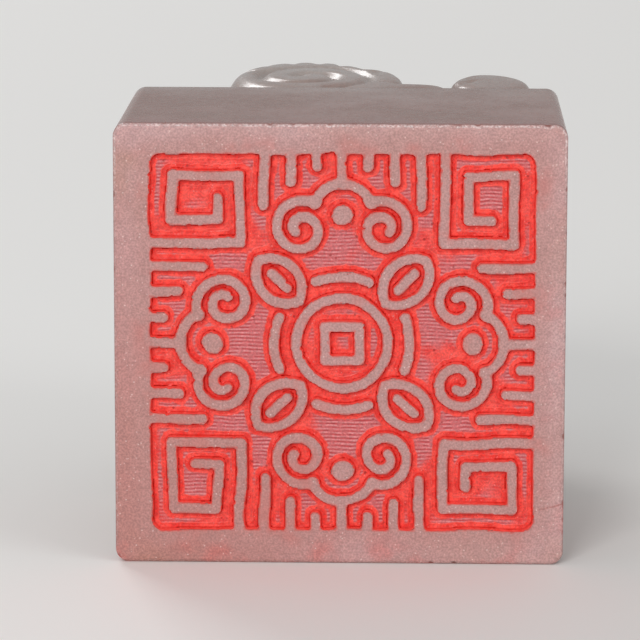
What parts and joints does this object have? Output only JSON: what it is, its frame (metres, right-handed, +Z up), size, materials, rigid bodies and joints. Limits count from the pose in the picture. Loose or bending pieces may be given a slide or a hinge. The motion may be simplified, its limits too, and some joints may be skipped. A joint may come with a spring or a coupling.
{
  "type": "seal stamp",
  "caption": "Square carved stone seal lying on its side, with a raised line ornament in red paste on its printing face and a crouching guardian beast as its knob.",
  "frame": {"origin": "on the surface that the seal lies on, under the middle of its bounding box", "axes": "+Z up from the side that the seal lies on, +Y along the bar of stone from the printing face to the beast, +X to the right as the printing face is looked at"},
  "size_m": [0.03, 0.0444, 0.0297],
  "materials": {
    "stone": "honed pink soapstone with fine grain and mica sparkle",
    "paste": "dried cinnabar-red seal paste"
  },
  "bodies": {
    "root": {"seal_stone": "stone", "paste_ground": "paste", "paste_coin_ring": "paste", "paste_coin_square": "paste", "paste_leaf_top_right": "paste", "paste_leaf_top_left": "paste", "paste_leaf_bottom_left": "paste", "paste_leaf_bottom_right": "paste"}
  },
  "joints": []
}
